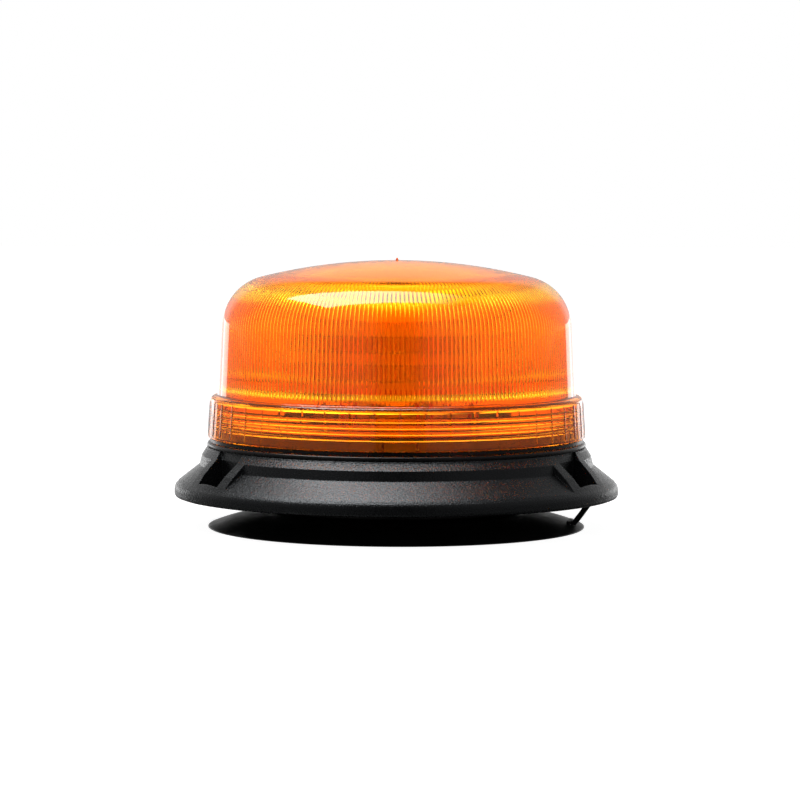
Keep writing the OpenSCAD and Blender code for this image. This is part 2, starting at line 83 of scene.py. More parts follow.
# Flutes inside the drum; their depths at the shoulder and the beads are shares of FLUTE_DEPTH
FLUTES, FLUTE_DEPTH, FLUTE_COLUMNS = 240, 0.26, 6
FLUTE_FOOT, FLUTE_END_R = 48.6, 44.4
SHOULDER_FLUTE, SHOULDER_STEPS = 1.5, 14
DRUM_ROWS = (58.0, 64.0, 70.0)
BEAD_Z, BEAD_FLUTE = 52.2, 1.8

# The bead at the foot of the flutes, as (height from its middle, share of the flutes' depth)
BEAD_SECTION = ((-2.2, 0), (-1.4, 0.5), (-0.8, 1.2), (0, BEAD_FLUTE), (0.8, 1.2), (1.3, 1))

# Radii of the rings inside the smooth crown, and the points in each
CROWN_RINGS = (40.0, 33.0, 25.0, 17.0, 10.0, 3.0)
CROWN_COLUMNS = 240

# Seal between lens and base, and the tray's flange that it lies on
SEAL_LOW, SEAL_TOP, SEAL_R, SEAL_INNER_R = 30.4, 33.4, 70.4, 65.8
SEAL_BEAD_R, SEAL_NECK_R = 0.95, 69.3
TRAY_FLANGE_R, TRAY_FLANGE_Z = 69.2, 31.2

# Suction cup, its sealing rings, and the release strap
CUP_R, HOUSING_R = 70.0, 47.5
CUP_ARC_CENTRE, CUP_ARC_R = (39.0, -80.7), 86.9
CUP_RINGS = (66.0, 63.0, 60.0)
FLANGE_INNER_R, FLANGE_LOW, FLANGE_TOP = 40.0, 3.6, 6.2
STRAP_TURN, STRAP_W, STRAP_T = -10.0, 8.0, 2.0
LUG_EXTRA_W, STRAP_LUG_T = 3, 1.4


# ---- Mesh helpers ----

def arc(centre, radius, start, end, steps):
    """Points on an arc, angles in radians."""
    turns = [start + (end - start) * i / steps for i in range(steps + 1)]
    return [(centre[0] + radius * math.cos(a), centre[1] + radius * math.sin(a)) for a in turns]


def make_object(name, verts, faces, material, sharp=40.0):
    """Smooth-shaded object from millimetre points, creased where faces meet above the sharp angle."""
    mesh = bpy.data.meshes.new(name)
    mesh.from_pydata([Vector(v) * MM for v in verts], [], faces)
    bm = bmesh.new()
    bm.from_mesh(mesh)
    bmesh.ops.remove_doubles(bm, verts=bm.verts, dist=1e-7)
    bmesh.ops.recalc_face_normals(bm, faces=bm.faces)
    limit = math.radians(sharp)
    for edge in bm.edges:
        edge.smooth = len(edge.link_faces) == 2 and edge.calc_face_angle() < limit
    for face in bm.faces:
        face.smooth = True
    bm.to_mesh(mesh)
    bm.free()
    obj = bpy.data.objects.new(name, mesh)
    bpy.context.scene.collection.objects.link(obj)
    obj.data.materials.append(material)
    return obj


def even_turns(count):
    """Evenly spaced bearings round the axis, in degrees."""
    return [360 * i / count for i in range(count)]


def ring_points(turns, radius, z):
    """One ring of points; radius is a number or a function of the turn in degrees."""
    points = []
    for turn in turns:
        r = radius(turn) if callable(radius) else radius
        points.append((r * math.cos(math.radians(turn)), r * math.sin(math.radians(turn)), z))
    return points


def join_rings(a_first, a_turns, b_first, b_turns):
    """Faces between two rings of points that may hold different numbers of points."""
    na, nb = len(a_turns), len(b_turns)
    if na == nb:
        ahead = [(i + 1) % na for i in range(na)]
        return [(a_first + i, a_first + k, b_first + k, b_first + i) for i, k in enumerate(ahead)]
    faces, i, j = [], 0, 0
    while i < na or j < nb:
        next_a = a_turns[i + 1] if i + 1 < na else a_turns[0] + 360
        next_b = b_turns[j + 1] if j + 1 < nb else b_turns[0] + 360
        if j >= nb or (i < na and next_a <= next_b):
            faces.append((a_first + i % na, a_first + (i + 1) % na, b_first + j % nb))
            i += 1
        else:
            faces.append((a_first + i % na, b_first + (j + 1) % nb, b_first + j % nb))
            j += 1
    return faces


class Shell:
    """Skin of rings round the axis, each joined to the one before it."""

    def __init__(self):
        self.verts, self.faces = [], []
        self.first, self.turns = 0, None

    def add_ring(self, turns, points):
        """Adds a ring whose points stand at the given turns."""
        first = len(self.verts)
        self.verts += points
        if self.turns is not None:
            self.faces += join_rings(self.first, self.turns, first, turns)
        self.first, self.turns = first, turns

    def close(self, z):
        """Closes the last ring with a fan round a point on the axis."""
        n = len(self.turns)
        self.verts.append((0, 0, z))
        tip = len(self.verts) - 1
        self.faces += [(self.first + i, self.first + (i + 1) % n, tip) for i in range(n)]


def lathe(name, outline, steps, material):
    """Closed outline of (r, z) points turned round the axis."""
    turns = even_turns(steps)
    verts, faces = [], []
    for r, z in outline:
        verts += ring_points(turns, r, z)
    rows = len(outline)
    for row in range(rows):
        faces += join_rings(row * steps, turns, (row + 1) % rows * steps, turns)
    return make_object(name, verts, faces, material)


# ---- Node helpers ----

def mix_shaders(tree, factor, first, second):
    """Shader that runs from first to second with the factor."""
    mix = tree.nodes.new("ShaderNodeMixShader")
    tree.links.new(factor, mix.inputs["Fac"])
    tree.links.new(first, mix.inputs[1])
    tree.links.new(second, mix.inputs[2])
    return mix.outputs["Shader"]


def map_range(tree, source, low, high, start, end, interpolation="SMOOTHSTEP"):
    """Value that runs from low to high while the source runs from start to end."""
    node = tree.nodes.new("ShaderNodeMapRange")
    node.interpolation_type = interpolation
    for socket, value in (("From Min", start), ("From Max", end), ("To Min", low), ("To Max", high)):
        node.inputs[socket].default_value = value
    tree.links.new(source, node.inputs["Value"])
    return node.outputs["Result"]


def combine(tree, operation, *sources):
    """Result of a math node on one or two values."""
    node = tree.nodes.new("ShaderNodeMath")
    node.operation = operation
    for source, socket in zip(sources, node.inputs):
        tree.links.new(source, socket)
    return node.outputs["Value"]


def coordinate(tree, kind, axis):
    """One axis of the texture coordinates of the given kind."""
    place = tree.nodes.new("ShaderNodeTexCoord")
    split = tree.nodes.new("ShaderNodeSeparateXYZ")
    tree.links.new(place.outputs[kind], split.inputs["Vector"])
    return split.outputs[axis]


def set_strength(tree, node, strength):
    """Sets a node's strength from a number or from the output of another node."""
    if isinstance(strength, bpy.types.NodeSocket):
        tree.links.new(strength, node.inputs["Strength"])
    else:
        node.inputs["Strength"].default_value = strength


def emission(tree, strength):
    """White glow that needs no light."""
    node = tree.nodes.new("ShaderNodeEmission")
    set_strength(tree, node, strength)
    return node.outputs["Emission"]


def background(tree, strength):
    """White surroundings of a world."""
    node = tree.nodes.new("ShaderNodeBackground")
    node.inputs["Color"].default_value = (1, 1, 1, 1)
    set_strength(tree, node, strength)
    return node.outputs["Background"]


# ---- Materials ----

# Noise values at which the roughness and the tint reach their ends
NOISE_LOW, NOISE_HIGH = 0.3, 0.7
TINT_LOW, TINT_HIGH = 0.35, 0.65


class Look:
    """One Principled material with its procedural nodes, in object coordinates."""

    def __init__(self, name, color, roughness, **sockets):
        self.material = bpy.data.materials.new(name)
        self.material.use_nodes = True
        self.tree = self.material.node_tree
        self.shader = self.tree.nodes["Principled BSDF"]
        self.shader.inputs["Base Color"].default_value = (*color, 1)
        self.shader.inputs["Roughness"].default_value = roughness
        for socket, value in sockets.items():
            self.shader.inputs[socket.replace("_", " ")].default_value = value
        self.place = self.tree.nodes.new("ShaderNodeTexCoord").outputs["Object"]
        self.normal = None

    def link(self, source, target):
        self.tree.links.new(source, target)

    def noise(self, scale, detail=3.0, stretch=(1, 1, 1)):
        """Noise whose grains are about 1/scale metres apart."""
        mapping = self.tree.nodes.new("ShaderNodeMapping")
        mapping.inputs["Scale"].default_value = stretch
        self.link(self.place, mapping.inputs["Vector"])
        texture = self.tree.nodes.new("ShaderNodeTexNoise")
        texture.inputs["Scale"].default_value = scale
        texture.inputs["Detail"].default_value = detail
        self.link(mapping.outputs["Vector"], texture.inputs["Vector"])
        return texture.outputs["Fac"]

    def tint(self, source, dark, light):
        """Colour that runs from dark to light with the texture."""
        ramp = self.tree.nodes.new("ShaderNodeValToRGB")
        for stop, position, color in zip(ramp.color_ramp.elements, (TINT_LOW, TINT_HIGH), (dark, light)):
            stop.position = position
            stop.color = (*color, 1)
        self.link(source, ramp.inputs["Fac"])
        self.link(ramp.outputs["Color"], self.shader.inputs["Base Color"])

    def overlay(self, factor, color):
        """Lays another colour over the present one where the factor is 1."""
        mix = self.tree.nodes.new("ShaderNodeMix")
        mix.data_type = "RGBA"
        self.link(factor, mix.inputs[0])
        self.link(self.shader.inputs["Base Color"].links[0].from_socket, mix.inputs[6])
        mix.inputs[7].default_value = (*color, 1)
        self.link(mix.outputs[2], self.shader.inputs["Base Color"])

    def rough(self, source, low, high):
        """Roughness that runs from low to high with the texture."""
        value = map_range(self.tree, source, low, high, NOISE_LOW, NOISE_HIGH, "LINEAR")
        self.link(value, self.shader.inputs["Roughness"])

    def set_normal(self, source):
        """Shades with this normal, and hands it to the next step."""
        self.normal = source
        self.link(source, self.shader.inputs["Normal"])

    def soften(self, radius):
        """Rounds sharp edges in the shading, radius in metres."""
        bevel = self.tree.nodes.new("ShaderNodeBevel")
        bevel.samples = 4
        bevel.inputs["Radius"].default_value = radius
        self.set_normal(bevel.outputs["Normal"])

    def lean(self, low, high, up):
        """Turns the shading of a sloping ring between two heights, in metres, towards the light above."""
        fade = 0.0001
        height = coordinate(self.tree, "Object", "Z")
        foot = map_range(self.tree, height, 0.0, up, low - fade, low + fade)
        head = map_range(self.tree, height, 1.0, 0.0, high - fade, high + fade)
        lift = self.tree.nodes.new("ShaderNodeCombineXYZ")
        self.link(combine(self.tree, "MULTIPLY", foot, head), lift.inputs["Z"])
        total = self.tree.nodes.new("ShaderNodeVectorMath")
        total.operation = "ADD"
        self.link(self.normal, total.inputs[0])
        self.link(lift.outputs["Vector"], total.inputs[1])
        unit = self.tree.nodes.new("ShaderNodeVectorMath")
        unit.operation = "NORMALIZE"
        self.link(total.outputs["Vector"], unit.inputs[0])
        self.set_normal(unit.outputs["Vector"])

    def bump(self, source, depth, strength=1.0):
        """Relief of the given depth in metres."""
        node = self.tree.nodes.new("ShaderNodeBump")
        node.inputs["Strength"].default_value = strength
        node.inputs["Distance"].default_value = depth
        self.link(source, node.inputs["Height"])
        if self.normal is not None:
            self.link(self.normal, node.inputs["Normal"])
        self.set_normal(node.outputs["Normal"])


# Bands of painted light round the shoulder and at the foot of the flutes: paler amber that stands in for
# light the flutes reflect. In metres:
# lower edge, upper edge, and how far each of them fades
PAINTED_LIGHT_BANDS = ((0.0865, 0.0892, 0.003, 0.0035), (0.0515, 0.0529, 0.0006, 0.0006))
PAINTED_LIGHT_AMBER = (1.0, 0.72, 0.025)

# The sloping step under the lens, in metres, and how far its shading leans up
STEP_LOW, STEP_HIGH, STEP_LEAN = 0.02695, 0.0293, 0.53


def amber_look():
    """Clear amber polycarbonate, with painted light: paler amber bands round the shoulder and at the foot of
    the flutes stand in for light the flutes reflect.
    """
    look = Look("amber_polycarbonate", (1.0, 0.28, 0.005), 0.03, Transmission_Weight=0.95, IOR=1.585)
    look.tint(look.noise(60), (1.0, 0.27, 0.004), (1.0, 0.29, 0.007))
    height = coordinate(look.tree, "Object", "Z")
    # Painted light: each band lays paler amber where the flutes reflect light
    for low, high, fade_low, fade_high in PAINTED_LIGHT_BANDS:
        rise = map_range(look.tree, height, 0.0, 1.0, low - fade_low, low)
        fall = map_range(look.tree, height, 1.0, 0.0, high, high + fade_high)
        look.overlay(combine(look.tree, "MULTIPLY", rise, fall), PAINTED_LIGHT_AMBER)
    look.rough(look.noise(400), 0.02, 0.05)
    return look.material


def grained_plastic_look():
    """Spark-eroded black moulding of the base."""
    look = Look("grained_black_plastic", (0.004, 0.004, 0.0045), 0.3, Specular_IOR_Level=0.56,
                Specular_Tint=(0.9, 0.95, 1.0, 1.0))
    look.tint(look.noise(45), (0.003, 0.003, 0.0033), (0.005, 0.005, 0.0055))
    look.rough(look.noise(900), 0.24, 0.31)
    look.soften(0.0004)
    look.lean(STEP_LOW, STEP_HIGH, STEP_LEAN)
    look.bump(look.noise(1900, 2.0), 0.00016)
    return look.material


def gloss_rubber_look():
    """Smooth shiny black rubber of the seals."""
    look = Look("gloss_seal_rubber", (0.004, 0.004, 0.0045), 0.2)
    look.tint(look.noise(80), (0.003, 0.003, 0.0033), (0.005, 0.005, 0.0055))
    look.rough(look.noise(300), 0.2, 0.3)
    look.bump(look.noise(1500), 0.000008, 0.4)
    return look.material


def satin_plastic_look(name, dark, light, low, high, grain=1800):
    """Moulded plastic with a fine even grain."""
    look = Look(name, light, low)
    look.tint(look.noise(70), dark, light)
    look.rough(look.noise(500), low, high)
    look.soften(0.0003)
    look.bump(look.noise(grain), 0.00001, 0.4)
    return look.material


def rubber_look(name, dark, light, low, high):
    """Dull moulded rubber."""
    look = Look(name, light, low)
    look.tint(look.noise(50), dark, light)
    look.rough(look.noise(260), low, high)
    look.bump(look.noise(1400), 0.00002, 0.4)
    return look.material


def metal_look(name, dark, light, low, high, stretch=(1, 1, 1)):
    """Bare or plated metal; a stretch draws the marks out along an axis."""
    look = Look(name, light, low, Metallic=1.0)
    look.tint(look.noise(120, stretch=stretch), dark, light)
    look.rough(look.noise(900, stretch=stretch), low, high)
    look.soften(0.0002)
    look.bump(look.noise(1500, stretch=stretch), 0.000006, 0.5)
    return look.material


def clear_look():
    """Clear acrylic of the LED optics."""
    look = Look("clear_optic_plastic", (0.97, 0.98, 1.0), 0.03, Transmission_Weight=1.0, IOR=1.49)
    look.tint(look.noise(90), (0.95, 0.97, 0.98), (0.99, 0.99, 1.0))
    look.rough(look.noise(400), 0.02, 0.06)
    return look.material


def circuit_look():
    """Green solder mask over copper tracks."""
    look = Look("green_circuit_board", (0.02, 0.16, 0.06), 0.35)
    tracks = look.tree.nodes.new("ShaderNodeTexBrick")
    tracks.inputs["Scale"].default_value = 260
    tracks.inputs["Mortar Size"].default_value = 0.03
    tracks.inputs["Color1"].default_value = (0.012, 0.12, 0.045, 1)
    tracks.inputs["Color2"].default_value = (0.016, 0.15, 0.055, 1)
    tracks.inputs["Mortar"].default_value = (0.03, 0.24, 0.09, 1)
    look.link(look.place, tracks.inputs["Vector"])
    look.link(tracks.outputs["Color"], look.shader.inputs["Base Color"])
    look.rough(look.noise(300), 0.28, 0.42)
    look.bump(tracks.outputs["Fac"], 0.00003, 0.6)
    return look.material


# Name, darkest colour, lightest colour, lowest roughness, highest roughness and, where given, the grain
SATIN_PLASTICS = {
    "tray": ("black_tray_plastic", (0.008, 0.008, 0.009), (0.014, 0.014, 0.015), 0.28, 0.4),
    "housing": ("black_housing_plastic", (0.004, 0.004, 0.0045), (0.006, 0.006, 0.0065), 0.3, 0.4),
    "white": ("white_reflector_plastic", (0.78, 0.78, 0.76), (0.86, 0.86, 0.84), 0.22, 0.34),
    "led_board": ("white_led_board", (0.74, 0.75, 0.73), (0.84, 0.85, 0.83), 0.3, 0.42),
    "phosphor": ("led_phosphor", (0.72, 0.50, 0.06), (0.86, 0.64, 0.12), 0.35, 0.5),
    "chip": ("black_epoxy", (0.012, 0.012, 0.013), (0.03, 0.03, 0.032), 0.45, 0.6),
    "terminal": ("green_terminal_plastic", (0.02, 0.2, 0.05), (0.03, 0.27, 0.08), 0.32, 0.45),
    "wire": ("red_wire_sleeve", (0.42, 0.02, 0.015), (0.55, 0.03, 0.02), 0.35, 0.5),
    "ferrite": ("dark_ferrite", (0.03, 0.03, 0.032), (0.055, 0.055, 0.06), 0.5, 0.7, 900),
}

# Name, darkest colour, lightest colour, lowest roughness, highest roughness
RUBBERS = {
    "cup": ("black_cup_rubber", (0.012, 0.012, 0.013), (0.02, 0.02, 0.021), 0.36, 0.46),
    "strap": ("black_strap_rubber", (0.004, 0.004, 0.0045), (0.007, 0.007, 0.0075), 0.4, 0.55),
    "grommet": ("black_grommet_rubber", (0.010, 0.010, 0.011), (0.018, 0.018, 0.019), 0.45, 0.6),
    "pad": ("grey_pad_rubber", (0.03, 0.03, 0.033), (0.05, 0.05, 0.054), 0.6, 0.75),
}

# Name, darkest colour, lightest colour, lowest roughness, highest roughness and, where given, the stretch
METALS = {
    "aluminium": ("milled_aluminium", (0.62, 0.63, 0.65), (0.76, 0.77, 0.79), 0.28, 0.42, (1, 1, 0.1)),
    "can": ("capacitor_aluminium", (0.60, 0.61, 0.63), (0.74, 0.75, 0.77), 0.22, 0.34),
    "steel": ("zinc_plated_screws", (0.50, 0.50, 0.50), (0.66, 0.66, 0.66), 0.25, 0.4),
    "zinc": ("zinc_plated_sheet", (0.52, 0.53, 0.55), (0.66, 0.67, 0.69), 0.3, 0.46),
    "brass": ("turned_brass", (0.66, 0.45, 0.16), (0.80, 0.58, 0.24), 0.22, 0.36),
}

LOOKS = {
    "amber": amber_look(),
    "base": grained_plastic_look(),
    "seal": gloss_rubber_look(),
    "circuit": circuit_look(),
    "clear": clear_look(),
}
LOOKS |= {key: satin_plastic_look(*row) for key, row in SATIN_PLASTICS.items()}
LOOKS |= {key: rubber_look(*row) for key, row in RUBBERS.items()}
LOOKS |= {key: metal_look(*row) for key, row in METALS.items()}

NODE_LOOKS = {
    "amber": ["lens_dome"],
    "base": ["mount_base"],
    "seal": ["lens_seal", "deck_seal"],
    "tray": ["head_tray"],
    "housing": ["magnet_housing"],
    "white": ["reflector_plate", "core_cap"],
    "led_board": ["led_boards"],
    "phosphor": ["led_packages"],
    "chip": ["driver_chips", "breather_vent"],
    "terminal": ["terminal_block"],
    "wire": ["led_leads"],
    "ferrite": ["driver_inductors", "ring_magnet"],
    "circuit": ["driver_board"],
    "clear": ["led_optics"],
    "cup": ["suction_cup"],
    "strap": ["release_strap"],
    "grommet": ["cable_grommet"],
    "pad": ["magnet_pad"],
    "aluminium": ["heat_sink"],
    "can": ["driver_capacitors"],
    "steel": ["board_screws", "core_cap_screw", "heat_sink_screws", "driver_screws", "head_screws",
              "housing_screws", "clamp_screws", "centre_bolt", "bolt_washer", "lock_nut", "strap_screw"],
    "zinc": ["clamp_ring", "pot_shell"],
    "brass": ["boss_inserts"],
}


def dress_cad_nodes():
    """Gives every CAD node the procedural material listed for it."""
    for look, nodes in NODE_LOOKS.items():
        for node in nodes:
            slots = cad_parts[node].data.materials
            slots.clear()
            slots.append(LOOKS[look])


# ---- Lens ----

def skirt_radius(z):
    """Outer radius of the tapered skirt at a height."""
    return SKIRT_R + (SKIRT_TOP_R - SKIRT_R) * (z - SKIRT_Z) / (SKIRT_TOP_Z - SKIRT_Z)


def outer_lens_rows():
    """(r, z, rib) rows of the outside, from the lower edge up; rib is a share of the ribs' height."""
    rows = [(SKIRT_R - SKIRT_CHAMFER, SKIRT_Z, 0)]
    ribbed = [(SKIRT_Z + SKIRT_CHAMFER, 0), (RIB_FOOT, 0), (RIB_FOOT + RIB_FADE, 1)]
    ribbed += [(z, 1) for z in RIB_ROWS]
    ribbed += [(RIB_HEAD - RIB_FADE, 1), (RIB_HEAD, 0)]
    rows += [(skirt_radius(z), z, rib) for z, rib in ribbed]

    corner = (SKIRT_TOP_R - SKIRT_CORNER_R, SKIRT_TOP_Z - SKIRT_CORNER_R)
    foot_z = SKIRT_TOP_Z + DRUM_FOOT_R
    hollow = (DRUM_R - 0.05 + DRUM_FOOT_R, foot_z)
    plain = arc(corner, SKIRT_CORNER_R, 0, math.pi / 2, 8)
    plain += arc(hollow, DRUM_FOOT_R, -math.pi / 2, -math.pi, 4)
    for t in (0.25, 0.5, 0.75):
        plain.append((DRUM_R + (DRUM_TOP_R - DRUM_R) * t, foot_z + (SHOULDER_Z - foot_z) * t))
    plain += arc((SHOULDER_X, SHOULDER_Z), SHOULDER_R, 0, BLEND_TURN, 16)
    plain += arc((0, CROWN_CENTRE_Z), CROWN_R, BLEND_TURN, NUB_FOOT_TURN, 12)[1:]
    plain += [(NUB_R + 0.15, CROWN_Z), (NUB_R, CROWN_Z + 0.3), (NUB_R, NUB_TOP - 0.2)]
    plain += [(NUB_R - 0.2, NUB_TOP)]
    return rows + [(r, z, 0) for r, z in plain]


def inner_skirt_rows():
    """(r, z, lug) rows of the skirt's inside, from the lower edge up; lug is 1 at the bayonet lugs."""
    inner = SKIRT_R - LENS_WALL
    wall = DRUM_R - LENS_WALL
    rows = [(inner, SKIRT_Z, 0), (inner, LUG_LOW - 0.05, 0), (inner, LUG_LOW, 1), (inner, LUG_HIGH, 1)]
    rows += [(inner, LUG_HIGH + 0.05, 0)]
    for i in range(RIDGES):
        z = RIDGE_FOOT + i * RIDGE_PITCH
        rows += [(inner - RIDGE_DEPTH * out, z + up, 0) for up, out in RIDGE_SECTION]
    rows += [(inner, LEDGE_FOOT, 0), (inner - 0.4, LEDGE_FOOT + 0.4, 0)]
    rows += [(wall + 0.8, LEDGE_TOP - 0.5, 0), (wall + 0.1, LEDGE_TOP, 0)]
    return rows


def shoulder_flute(step):
    """Share of the flutes' depth at a step of the shoulder: deeper half way up, fading towards the crown."""
    share = 1 + (SHOULDER_FLUTE - 1) * math.sin(math.pi * min(step / 8, 1) / 2)
    return share * (1 - 0.8 * min(max(step - 8.5, 0) / 3.5, 1))


def fluted_rows():
    """(r, z, normal r, normal z, flute) rows of the fluted inside, from the drum's foot to the crown."""
    wall_r = DRUM_R - LENS_WALL
    top_r = DRUM_TOP_R - LENS_WALL
    drum = [(FLUTE_FOOT, 0)]
    drum += [(BEAD_Z + up, flute) for up, flute in BEAD_SECTION]
    drum += [(z, 1) for z in DRUM_ROWS]
    rows = []
    for z, flute in drum:
        r = wall_r + (top_r - wall_r) * (z - SKIRT_TOP_Z) / (SHOULDER_Z - SKIRT_TOP_Z)
        rows.append((r, z, 1, 0, flute))
    reach = SHOULDER_R - LENS_WALL
    for i in range(SHOULDER_STEPS + 1):
        a = BLEND_TURN * i / SHOULDER_STEPS
        n = (math.cos(a), math.sin(a))
        rows.append((SHOULDER_X + reach * n[0], SHOULDER_Z + reach * n[1], *n, shoulder_flute(i)))
    inner_r = CROWN_R - LENS_WALL
    for r, flute in ((48.0, 0.28), (46.4, 0.2), (FLUTE_END_R, 0)):
        a = math.acos(r / inner_r)
        rows.append((r, CROWN_CENTRE_Z + inner_r * math.sin(a), math.cos(a), math.sin(a), flute))
    return rows


def flute_profile(share):
    """Height of one rounded flute at a share of its width."""
    return 1 - (2 * share - 1) ** 2


def rib_turns():
    """Bearings of the outer columns, close together on the ribs, and the share of a rib's height at each."""
    pitch = 360 / RIB_COUNT
    half = math.degrees(RIB_W / 2 / SKIRT_R)
    bump = [(half * i / 4, (1 + math.cos(i / 4 * math.pi)) / 2) for i in range(-4, 5)]
    plain = [(pitch * i / 5, 0.0) for i in range(1, 5)]
    return [(rib * pitch + t, share) for rib in range(RIB_COUNT) for t, share in bump + plain]


def near_lug(turn):
    """True at the bearings of the bayonet lugs."""
    half_pitch = 180 / LUG_COUNT
    return abs((turn + half_pitch) % (2 * half_pitch) - half_pitch) <= LUG_ARC / 2


def add_outside(shell):
    """Outside of the lens, from the skirt's lower edge to the tip of the nub."""
    rib_at = dict(rib_turns())
    turns = list(rib_at)
    for r, z, rib in outer_lens_rows():
        shell.add_ring(turns, ring_points(turns, lambda t: r + RIB_H * rib * rib_at[t], z))
    shell.close(NUB_TOP)
    return turns


def add_inner_skirt(shell):
    """Inside of the skirt, with the bayonet lugs."""
    turns = [SKIRT_STEP * i for i in range(round(360 / SKIRT_STEP))]
    for r, z, lug in inner_skirt_rows():
        shell.add_ring(turns, ring_points(turns, lambda t: LUG_R if lug and near_lug(t) else r, z))


def add_flutes(shell):
    """Fluted inside of the drum and the shoulder."""
    columns = FLUTES * FLUTE_COLUMNS
    turns = even_turns(columns)
    heights = [flute_profile(i % FLUTE_COLUMNS / FLUTE_COLUMNS) for i in range(columns)]
    for r, z, nr, nz, share in fluted_rows():
        points = []
        for turn, height in zip(turns, heights):
            cut = FLUTE_DEPTH * share * height
            ring_r, a = r - nr * cut, math.radians(turn)
            points.append((ring_r * math.cos(a), ring_r * math.sin(a), z - nz * cut))
        shell.add_ring(turns, points)


def add_inner_crown(shell):
    """Smooth inside of the crown."""
    turns = even_turns(CROWN_COLUMNS)
    inner_r = CROWN_R - LENS_WALL
    for r in CROWN_RINGS:
        shell.add_ring(turns, ring_points(turns, r, CROWN_CENTRE_Z + math.sqrt(inner_r**2 - r**2)))
    shell.close(CROWN_CENTRE_Z + inner_r)


def build_lens():
    """One closed amber wall: the outside, then the inside from the same lower edge."""
    shell = Shell()
    outer_turns = add_outside(shell)
    shell.first, shell.turns = 0, outer_turns
    add_inner_skirt(shell)
    add_flutes(shell)
    add_inner_crown(shell)
    lens = make_object("amber_lens", shell.verts, shell.faces, LOOKS["amber"], 35)
    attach(lens, "lens")
    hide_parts("lens_dome")


def build_seal():
    """Ring between lens and base: a neck under the lens and a round bead over the tray's flange."""
    outline = [(SEAL_INNER_R, TRAY_FLANGE_Z), (TRAY_FLANGE_R, TRAY_FLANGE_Z), (TRAY_FLANGE_R, SEAL_LOW)]
    bead = (SEAL_R - SEAL_BEAD_R, SEAL_LOW + 0.5)
    outline += arc(bead, SEAL_BEAD_R, math.radians(-31.7), math.radians(85), 12)
    outline += [(SEAL_NECK_R, SEAL_LOW + 1.7), (SEAL_NECK_R, SEAL_TOP - 0.2)]
    outline += [(SEAL_NECK_R - 0.2, SEAL_TOP), (SEAL_INNER_R, SEAL_TOP)]
    seal = lathe("seal_ring", outline, 288, LOOKS["seal"])
    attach(seal, "base")
    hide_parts("lens_seal")


# ---- Suction cup and strap ----

def cup_outline():
    """(r, z) outline of the cup: flange, curved top, lip, sealing rings under the lip, and the hollow."""
    centre_r = CUP_ARC_CENTRE[0]
    start = math.acos((HOUSING_R - centre_r) / CUP_ARC_R)
    end = math.acos((CUP_R - 0.35 - centre_r) / CUP_ARC_R)
    outline = [(FLANGE_INNER_R, FLANGE_LOW), (FLANGE_INNER_R, FLANGE_TOP)]
    outline += [(HOUSING_R - 1.6, FLANGE_TOP), (HOUSING_R - 0.9, FLANGE_TOP - 0.12)]
    outline += arc(CUP_ARC_CENTRE, CUP_ARC_R, start, end, 22)
    lip = ((0.08, 0.42), (0, 0.28), (0.03, 0.1), (0.2, 0.0), (1.2, 0.0), (1.8, 0.15), (2.6, 0.35))
    outline += [(CUP_R - inset, z) for inset, z in lip]
    for r in CUP_RINGS:
        z = 0.7 + (CUP_RINGS[0] - r) * 0.2
        outline += [(r + 0.45, z - 0.08), (r + 0.25, z - 0.45), (r - 0.25, z - 0.4), (r - 0.5, z + 0.15)]
    outline += [(54.0, 2.8), (48.0, FLANGE_LOW)]
    return outline


def build_cup():
    cup = lathe("rubber_cup", cup_outline(), 240, LOOKS["cup"])
    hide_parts("suction_cup")
    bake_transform(cup)


def strip_section(width, thickness):
    """Rectangle with rounded corners, as (across, out) points."""
    round_r = thickness * 0.32
    x, y = width / 2 - round_r, thickness / 2 - round_r
    section = []
    for cx, cy, start in ((x, y, 0), (-x, y, 90), (-x, -y, 180), (x, -y, 270)):
        section += arc((cx, cy), round_r, math.radians(start), math.radians(start + 90), 3)
    return section


def sweep_strip(name, path, width, thickness, material):
    """Flat strip with rounded edges that follows (r, z) points in the plane of the strap."""
    section = strip_section(width, thickness)
    spin = Matrix.Rotation(math.radians(STRAP_TURN), 3, "Z")
    verts, faces = [], []
    for i, point in enumerate(path):
        before, after = path[max(i - 1, 0)], path[min(i + 1, len(path) - 1)]
        along = Vector((after[0] - before[0], after[1] - before[1])).normalized()
        for across, out in section:
            r, z = point[0] - along.y * out, point[1] + along.x * out
            verts.append(spin @ Vector((r, across, z)))
    n = len(section)
    last = (len(path) - 1) * n
    for row in range(0, last, n):
        for k in range(n):
            ahead = (k + 1) % n
            faces.append((row + k, row + ahead, row + n + ahead, row + n + k))
    faces += [tuple(range(n)), tuple(range(last, last + n))]
    return make_object(name, verts, faces, material)


def build_strap():
    """Release strap: a foot beside the cup's lug, a straight leaning run and a pad under the base."""
    path = [(66.7, 2.1), (66.72, 2.5), (67.0, 2.75), (69.4, 5.96), (71.8, 9.3), (74.0, 12.36)]
    path += arc((74.19, 14.5), 1.1, math.radians(-35.7), math.radians(90), 8)
    path += [(70.5, 15.6), (67.0, 15.6), (63.6, 15.6)]
    strap = sweep_strip("strap", path, STRAP_W, STRAP_T, LOOKS["strap"])
    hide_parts("release_strap")
    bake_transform(strap)


def build_cup_lug():
    """Low lug on the cup's lip that the strap is moulded to."""
    path = [(64.9, 1.9), (64.95, 2.4), (65.0, 3.0), (65.05, 3.5)]
    lug = sweep_strip("strap_lug", path, STRAP_W + LUG_EXTRA_W, STRAP_LUG_T, LOOKS["cup"])
    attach(lug, "cup")


# ---- Stage, light and camera, in metres ----

FLOOR_HALF = 4
BAR_Z, BAR_HEIGHT = 0.045, 0.09
SOFTBOX_Z = 0.60
SOFTBOX_CORNERS = [(-0.42, -0.24, 0), (-0.486, 0.19, 0), (0.35, 0.0, 0), (0.35, -0.21, 0)]


def bare_material(name):
    """Material with an empty surface, and its node tree."""
    material = bpy.data.materials.new(name)
    material.use_nodes = True
    tree = material.node_tree
    tree.nodes.remove(tree.nodes["Principled BSDF"])
    return material, tree


